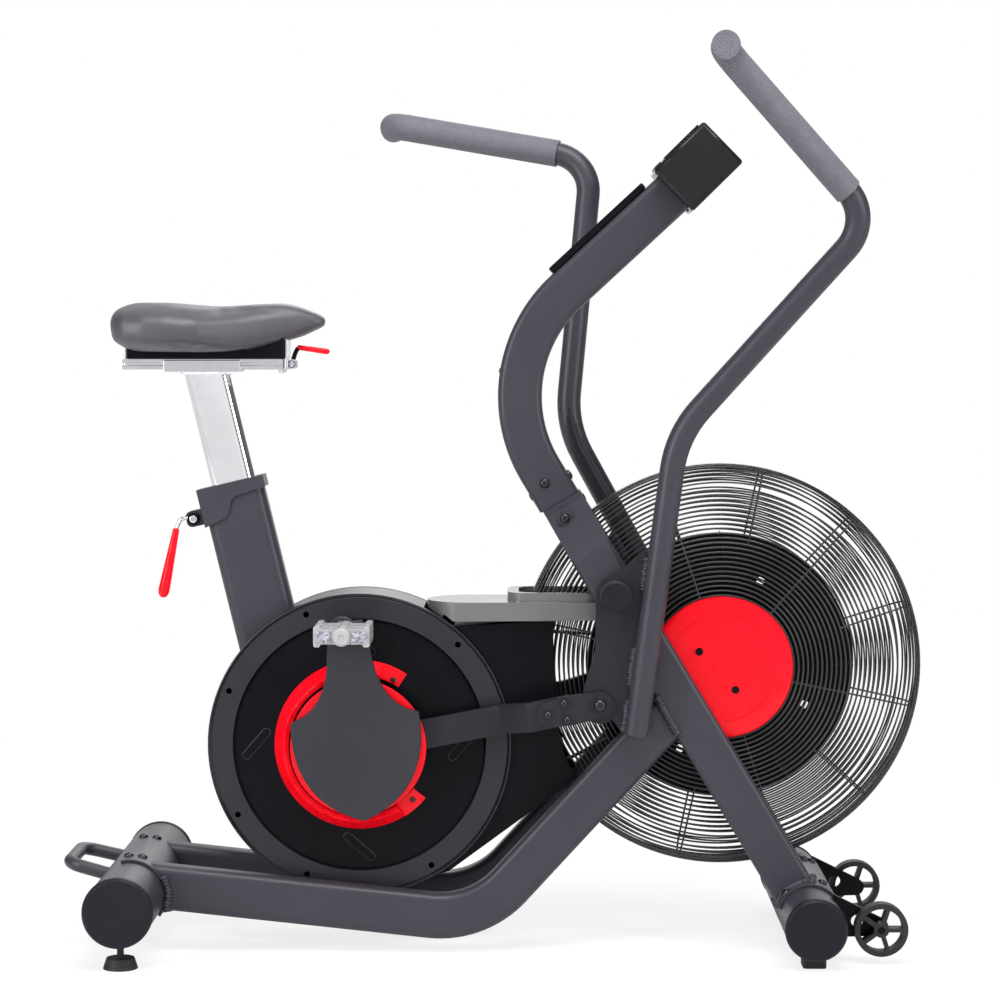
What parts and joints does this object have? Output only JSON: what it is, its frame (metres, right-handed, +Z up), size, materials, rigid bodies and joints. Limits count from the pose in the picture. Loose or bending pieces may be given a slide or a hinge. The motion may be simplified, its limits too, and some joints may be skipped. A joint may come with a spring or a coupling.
{
  "type": "air bike",
  "caption": "Air bike with a caged fan wheel, chain-side shroud, swinging handlebars linked to the crank, sliding saddle and a floor base with transport wheels",
  "frame": {"origin": "on the floor under the middle of the bike", "axes": "+X forward, +Z up, the rider's right is -Y"},
  "size_m": [1.289, 0.6214, 1.338],
  "materials": {
    "frame_coat": "charcoal powder coat, satin, fine texture",
    "black_plastic": "black plastic, satin",
    "gloss_black": "glossy black plastic",
    "red_plastic": "glossy red plastic",
    "silver_plastic": "silver satin plastic",
    "dark_plate": "charcoal plastic, fine texture",
    "rubber": "black rubber",
    "steel": "bright steel",
    "chrome": "polished chrome",
    "bolt_black": "blackened steel",
    "foam": "dark foam with a fine grain",
    "vinyl": "dark grey smooth vinyl",
    "clear_plastic": "clear white plastic",
    "wire_coat": "black coated wire",
    "aluminium": "cast aluminium",
    "screen": "dark display window",
    "tyre": "black tyre"
  },
  "bodies": {
    "frame": {"axle_plates": "wire_coat", "belt_casing": "black_plastic", "bottom_bracket": "frame_coat", "cage_caps": "red_plastic", "cage_left": "wire_coat", "cage_right": "wire_coat", "cage_rim": "wire_coat", "carry_handle": "frame_coat", "console_housing": "gloss_black", "console_keys": "rubber", "console_screen": "screen", "drive_belt": "rubber", "end_caps": "black_plastic", "fan_axle": "steel", "frame_bolts": "bolt_black", "front_feet": "rubber", "front_fork": "frame_coat", "front_saddle_plate": "frame_coat", "front_stabilizer": "frame_coat", "guard_rings": "red_plastic", "lever_pivots": "black_plastic", "mast": "frame_coat", "mast_face_plate": "black_plastic", "rear_saddle_plate": "frame_coat", "rear_stabilizer": "frame_coat", "seat_clamp": "black_plastic", "seat_tube": "frame_coat", "shroud_left": "black_plastic", "shroud_right": "black_plastic", "shroud_screws": "bolt_black", "side_rails": "frame_coat", "top_cover": "silver_plastic", "wheel_brackets": "frame_coat"},
    "crank": {"crank_spindle": "steel", "drive_pulley": "black_plastic", "crank_arms": "steel", "crank_discs": "red_plastic", "crank_covers": "dark_plate", "pedal_spindles": "steel"},
    "pedal_right_body": {"pedal_right": "clear_plastic"},
    "pedal_left_body": {"pedal_left": "clear_plastic"},
    "fan": {"fan_hub": "aluminium", "fan_wheel": "black_plastic"},
    "lever_right": {"handle_right": "frame_coat", "grip_right": "foam"},
    "lever_left": {"handle_left": "frame_coat", "grip_left": "foam"},
    "rod_right_body": {"rod_right": "frame_coat"},
    "rod_left_body": {"rod_left": "frame_coat"},
    "post": {"seat_post": "chrome", "seat_sleeve": "steel"},
    "saddle_carriage": {"seat_rail": "chrome", "saddle_base": "black_plastic", "saddle": "vinyl"},
    "slide_lock": {"slide_lever": "red_plastic"},
    "post_lock": {"clamp_lever": "red_plastic"},
    "foot_right": {"levelling_foot_right": "rubber"},
    "foot_left": {"levelling_foot_left": "rubber"},
    "transport_wheel_right": {"wheel_right": "tyre"},
    "transport_wheel_left": {"wheel_left": "tyre"}
  },
  "joints": [
    {"name": "crank_spin", "type": "hinge", "parent": "frame", "child": "crank", "pos_m": [-0.1985, 0, 0.305], "axis": [0, 1, 0], "continuous": true},
    {"name": "fan_spin", "type": "hinge", "parent": "frame", "child": "fan", "pos_m": [0.3425, 0, 0.422], "axis": [0, 1, 0], "continuous": true},
    {"name": "pedal_right_spin", "type": "hinge", "parent": "crank", "child": "pedal_right_body", "pos_m": [-0.21438, 0, 0.48299], "axis": [0, 1, 0], "continuous": true},
    {"name": "pedal_left_spin", "type": "hinge", "parent": "crank", "child": "pedal_left_body", "pos_m": [-0.18261, 0, 0.12701], "axis": [0, 1, 0], "continuous": true},
    {"name": "lever_right_swing", "type": "hinge", "parent": "frame", "child": "lever_right", "pos_m": [0.1819, 0, 0.5335], "axis": [0, 1, 0], "range_deg": [-36.28, 0]},
    {"name": "lever_left_swing", "type": "hinge", "parent": "frame", "child": "lever_left", "pos_m": [0.1819, 0, 0.5335], "axis": [0, 1, 0], "range_deg": [0, 36.28]},
    {"name": "rod_right_swing", "type": "hinge", "parent": "lever_right", "child": "rod_right_body", "pos_m": [0.15931, 0, 0.3745], "axis": [0, 1, 0], "range_deg": [0, 36.28]},
    {"name": "rod_left_swing", "type": "hinge", "parent": "lever_left", "child": "rod_left_body", "pos_m": [0.25779, 0, 0.39196], "axis": [0, 1, 0], "range_deg": [-36.28, 0]},
    {"name": "seat_height", "type": "slide", "parent": "frame", "child": "post", "axis": [-0.2351, 0, 0.972], "range_m": [-0.14, 0.06]},
    {"name": "seat_fore_aft", "type": "slide", "parent": "post", "child": "saddle_carriage", "axis": [1, 0, 0], "range_m": [-0.055, 0.055]},
    {"name": "slide_lock_turn", "type": "hinge", "parent": "saddle_carriage", "child": "slide_lock", "pos_m": [-0.3015, 0, 0.873], "axis": [0, 1, 0], "range_deg": [0, 50]},
    {"name": "post_lock_turn", "type": "hinge", "parent": "frame", "child": "post_lock", "pos_m": [-0.4495, 0, 0.64041], "axis": [0, 1, 0], "range_deg": [0, 75]},
    {"name": "foot_right_level", "type": "slide", "parent": "frame", "child": "foot_right", "axis": [0, 0, 1], "range_m": [0, 0.01]},
    {"name": "foot_left_level", "type": "slide", "parent": "frame", "child": "foot_left", "axis": [0, 0, 1], "range_m": [0, 0.01]},
    {"name": "wheel_right_spin", "type": "hinge", "parent": "frame", "child": "transport_wheel_right", "pos_m": [0.5685, 0, 0.051], "axis": [0, 1, 0], "continuous": true},
    {"name": "wheel_left_spin", "type": "hinge", "parent": "frame", "child": "transport_wheel_left", "pos_m": [0.5685, 0, 0.051], "axis": [0, 1, 0], "continuous": true}
  ],
  "couplings": [
    {"joint": "fan_spin", "follows": "crank_spin", "ratio": 6},
    {"joint": "lever_left_swing", "follows": "lever_right_swing", "ratio": -1},
    {"joint": "rod_right_swing", "follows": "lever_right_swing", "ratio": -1},
    {"joint": "rod_left_swing", "follows": "lever_right_swing", "ratio": 1}
  ]
}
